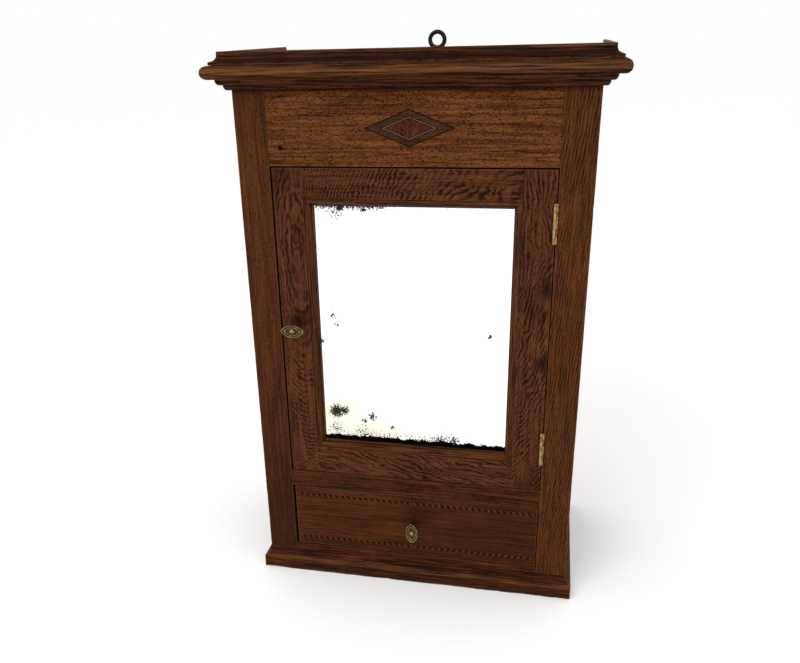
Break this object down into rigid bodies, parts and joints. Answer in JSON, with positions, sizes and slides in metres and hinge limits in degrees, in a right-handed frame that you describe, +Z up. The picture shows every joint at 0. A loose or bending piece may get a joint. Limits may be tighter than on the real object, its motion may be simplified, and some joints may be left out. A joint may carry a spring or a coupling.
{
  "type": "wall-hung mirror cabinet",
  "caption": "Wall-hung oak cabinet with a mirrored hinged door, a drawer below, an inlaid frieze and a moulded cornice, hung from a screw eye.",
  "frame": {"origin": "centre of the bounding box, on the underside of the base board", "axes": "+Z up, -Y out of the front with the door and the drawer, +X to the hinge side of the door"},
  "size_m": [0.4514, 0.2518, 0.689],
  "materials": {
    "oak_carcass": "oak, stained mid brown, old wax polish",
    "oak_frieze": "oak, lighter orange brown, open pores, old wax polish",
    "oak_moulding": "oak, dark stain with worn arrises and dirt in the hollows",
    "oak_door": "strongly figured oak, dark stain, old wax polish",
    "oak_drawer": "fine-grained oak, dark stain, old wax polish",
    "softwood": "planed pine, unfinished, darkened with age",
    "inlay": "contrasting stringing let in flush, waxed",
    "brass": "aged, dull in the hollows and rubbed bright on the edges",
    "steel": "plain turned steel, slightly dull",
    "black_iron": "blackened wrought iron",
    "mirror": "old silvered glass, spotted and worn near its edges"
  },
  "bodies": {
    "carcass": {"stile_left": "oak_carcass", "stile_right": "oak_carcass", "side_panel_left": "oak_carcass", "side_panel_right": "oak_carcass", "middle_rail": "oak_carcass", "bottom_rail": "oak_carcass", "frieze_board": "oak_frieze", "frieze_inlay": "inlay", "base_board": "oak_moulding", "top_board": "oak_moulding", "bed_moulding_front": "oak_moulding", "bed_moulding_left": "oak_moulding", "bed_moulding_right": "oak_moulding", "top_moulding_front": "oak_moulding", "top_moulding_left": "oak_moulding", "top_moulding_right": "oak_moulding", "back_board_wide": "softwood", "back_board_narrow": "softwood", "cupboard_floor": "softwood", "shelf_lower": "softwood", "shelf_upper": "softwood", "door_stop": "softwood", "drawer_runner_left": "softwood", "drawer_runner_right": "softwood", "screw_eye": "black_iron", "upper_hinge_frame_leaf": "brass", "upper_hinge_frame_leaf_screw_a": "brass", "upper_hinge_frame_leaf_screw_b": "brass", "upper_hinge_pin": "steel", "lower_hinge_frame_leaf": "brass", "lower_hinge_frame_leaf_screw_a": "brass", "lower_hinge_frame_leaf_screw_b": "brass", "lower_hinge_pin": "steel"},
    "door": {"door_stile_left": "oak_door", "door_stile_right": "oak_door", "door_rail_top": "oak_door", "door_rail_bottom": "oak_door", "door_bead_left": "oak_moulding", "door_bead_right": "oak_moulding", "door_bead_top": "oak_moulding", "door_bead_bottom": "oak_moulding", "mirror_glass": "mirror", "mirror_backing_board": "softwood", "upper_hinge_door_leaf": "brass", "upper_hinge_door_leaf_screw_a": "brass", "upper_hinge_door_leaf_screw_b": "brass", "lower_hinge_door_leaf": "brass", "lower_hinge_door_leaf_screw_a": "brass", "lower_hinge_door_leaf_screw_b": "brass"},
    "latch": {"door_knob": "brass", "latch_tongue": "brass"},
    "drawer": {"drawer_front": "oak_drawer", "drawer_side_left": "softwood", "drawer_side_right": "softwood", "drawer_back": "softwood", "drawer_bottom": "softwood", "drawer_inlay_top": "inlay", "drawer_inlay_bottom": "inlay", "drawer_knob": "brass", "drawer_knob_nut": "steel"}
  },
  "joints": [
    {"name": "door_hinge", "type": "hinge", "parent": "carcass", "child": "door", "pos_m": [0.1599, -0.10115, 0.1547], "axis": [0, 0, 1], "range_deg": [0, 170]},
    {"name": "latch_turn", "type": "hinge", "parent": "door", "child": "latch", "pos_m": [-0.14235, -0.10015, 0.3564], "axis": [0, 1, 0], "range_deg": [0, 90]},
    {"name": "drawer_slide", "type": "slide", "parent": "carcass", "child": "drawer", "axis": [0, -1, 0], "range_m": [0, 0.15]}
  ]
}
